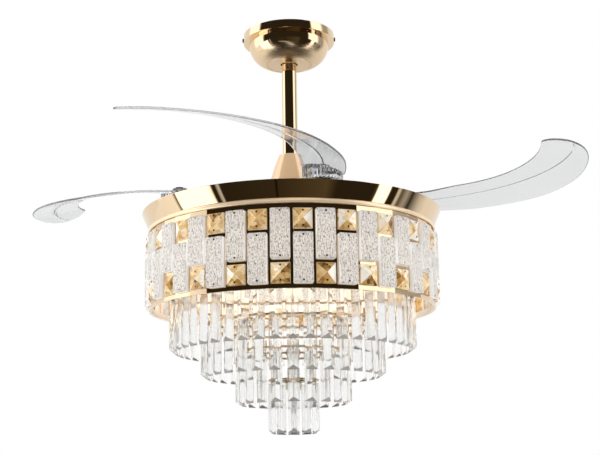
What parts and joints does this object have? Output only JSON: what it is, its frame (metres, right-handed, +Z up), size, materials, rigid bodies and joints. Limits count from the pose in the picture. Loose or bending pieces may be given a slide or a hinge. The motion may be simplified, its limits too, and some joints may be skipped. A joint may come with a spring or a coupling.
{
  "type": "ceiling fan",
  "caption": "Ceiling fan on a downrod with clear folding blades over a gold crystal drum and hanging prism tiers; blades swing out on geared pivots to move air",
  "frame": {"origin": "centre of the ceiling bracket's top face, on the ceiling, in line with the downrod", "axes": "+Z up, away from the room; -Y towards the viewer; +X to the viewer's right"},
  "size_m": [0.9294, 0.9294, 0.687],
  "materials": {
    "gold": "polished pale rose gold plating",
    "cover_gold": "satin pale gold",
    "steel": "plain zinc plated",
    "black_plastic": "moulded black",
    "clear_plastic": "clear moulded blades and gears",
    "glass": "pressed glass with a streaked bubbly face",
    "amber_glass": "pressed faceted amber glass",
    "crystal": "polished crystal",
    "bulb": "frosted warm lamp",
    "copper": "enamelled winding wire",
    "iron": "laminated and sintered iron",
    "dark_steel": "black painted steel"
  },
  "bodies": {
    "ceiling_mount": {"ceiling_bracket": "steel", "canopy": "gold", "canopy_screws": "gold", "receiver_box": "black_plastic"},
    "hanging": {"hanger_ball": "black_plastic", "ball_pin": "steel", "downrod": "gold", "yoke": "steel", "clevis_pin": "steel", "yoke_set_screws": "steel", "coupling_cover": "cover_gold", "motor_shaft": "steel", "bearing_inner_rings": "steel", "stator_core": "iron", "stator_windings": "copper", "motor_pan": "gold", "gold_band": "gold", "bead_ring": "gold", "drum_top_ring": "gold", "drum_bottom_ring": "gold", "drum_posts": "gold", "drum_crossbars": "gold", "glass_panels": "glass", "amber_tiles": "amber_glass", "ring_screws": "gold", "coupling_nut": "gold", "stem": "gold", "lamp_holders": "gold", "bulbs": "bulb", "prism_hooks": "gold", "stem_nut": "gold", "tier_1_frame": "gold", "tier_1_prisms": "crystal", "tier_2_frame": "gold", "tier_2_prisms": "crystal", "tier_3_frame": "gold", "tier_3_prisms": "crystal", "tier_4_frame": "gold", "tier_4_prisms": "crystal"},
    "rotor": {"bearing_outer_rings": "steel", "motor_can": "dark_steel", "rotor_magnets": "iron", "rotor_screws": "steel", "rotor_plate": "dark_steel", "pivot_posts": "steel", "post_caps": "steel", "ring_keepers": "steel"},
    "sync": {"sync_ring": "black_plastic"},
    "folding_blade_1": {"blade_1": "clear_plastic", "blade_gear_1": "clear_plastic"},
    "folding_blade_2": {"blade_2": "clear_plastic", "blade_gear_2": "clear_plastic"},
    "folding_blade_3": {"blade_3": "clear_plastic", "blade_gear_3": "clear_plastic"},
    "folding_blade_4": {"blade_4": "clear_plastic", "blade_gear_4": "clear_plastic"}
  },
  "joints": [
    {"name": "hanger_swing", "type": "hinge", "parent": "ceiling_mount", "child": "hanging", "pos_m": [0, 0, -0.034], "axis": [1, 0, 0], "range_deg": [-3, 3]},
    {"name": "fan_spin", "type": "hinge", "parent": "hanging", "child": "rotor", "pos_m": [0, 0, -0.313], "axis": [0, 0, 1], "continuous": true},
    {"name": "blade_1_fold", "type": "hinge", "parent": "rotor", "child": "folding_blade_1", "pos_m": [0.18353, 0.04918, -0.313], "axis": [0, 0, 1], "range_deg": [-88, 0]},
    {"name": "blade_2_fold", "type": "hinge", "parent": "rotor", "child": "folding_blade_2", "pos_m": [-0.04918, 0.18353, -0.313], "axis": [0, 0, 1], "range_deg": [-88, 0]},
    {"name": "blade_3_fold", "type": "hinge", "parent": "rotor", "child": "folding_blade_3", "pos_m": [-0.18353, -0.04918, -0.313], "axis": [0, 0, 1], "range_deg": [-88, 0]},
    {"name": "blade_4_fold", "type": "hinge", "parent": "rotor", "child": "folding_blade_4", "pos_m": [0.04918, -0.18353, -0.313], "axis": [0, 0, 1], "range_deg": [-88, 0]},
    {"name": "sync_turn", "type": "hinge", "parent": "rotor", "child": "sync", "pos_m": [0, 0, -0.313], "axis": [0, 0, 1], "range_deg": [-0.5, 17]}
  ],
  "couplings": [
    {"joint": "blade_2_fold", "follows": "blade_1_fold", "ratio": 1},
    {"joint": "blade_3_fold", "follows": "blade_1_fold", "ratio": 1},
    {"joint": "blade_4_fold", "follows": "blade_1_fold", "ratio": 1},
    {"joint": "sync_turn", "follows": "blade_1_fold", "ratio": -0.1875}
  ]
}
